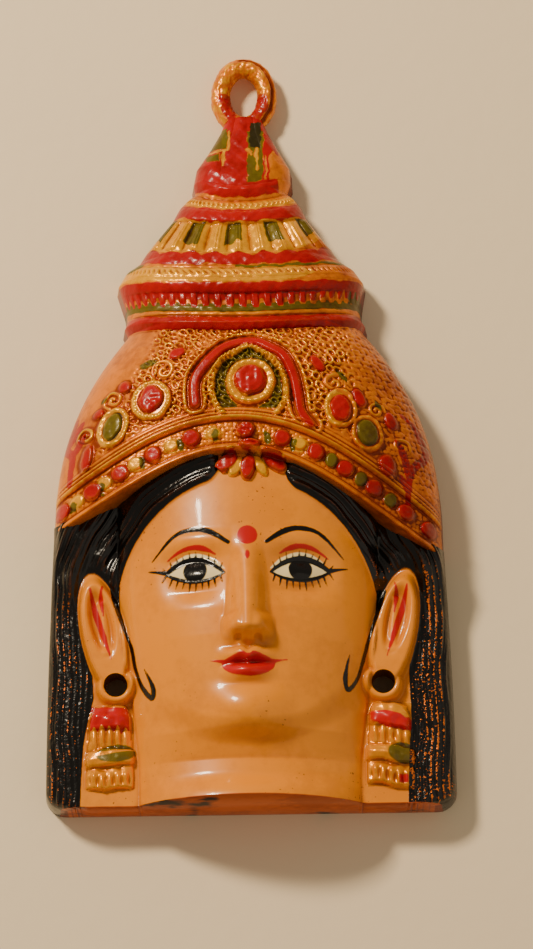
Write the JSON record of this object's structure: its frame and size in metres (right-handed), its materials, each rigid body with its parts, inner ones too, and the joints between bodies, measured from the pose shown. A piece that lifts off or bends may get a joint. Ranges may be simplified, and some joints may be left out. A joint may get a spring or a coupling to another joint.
{
  "type": "deity face mask",
  "caption": "Cast and painted goddess face mask with a tiered crown, a hanging loop, punched ear lobes and a hollow back.",
  "frame": {"origin": "in the plane of the back rim, half way between the neck's foot and the top of the hanging loop, on the middle line", "axes": "+X to the viewer's right, +Y from the neck to the hanging loop, +Z out of the face; the mask lies on its back rim"},
  "size_m": [0.0804, 0.158, 0.0277],
  "materials": {
    "painted_mask": "gloss"
  },
  "bodies": {
    "root": {"deity_mask": "painted_mask"}
  },
  "joints": []
}
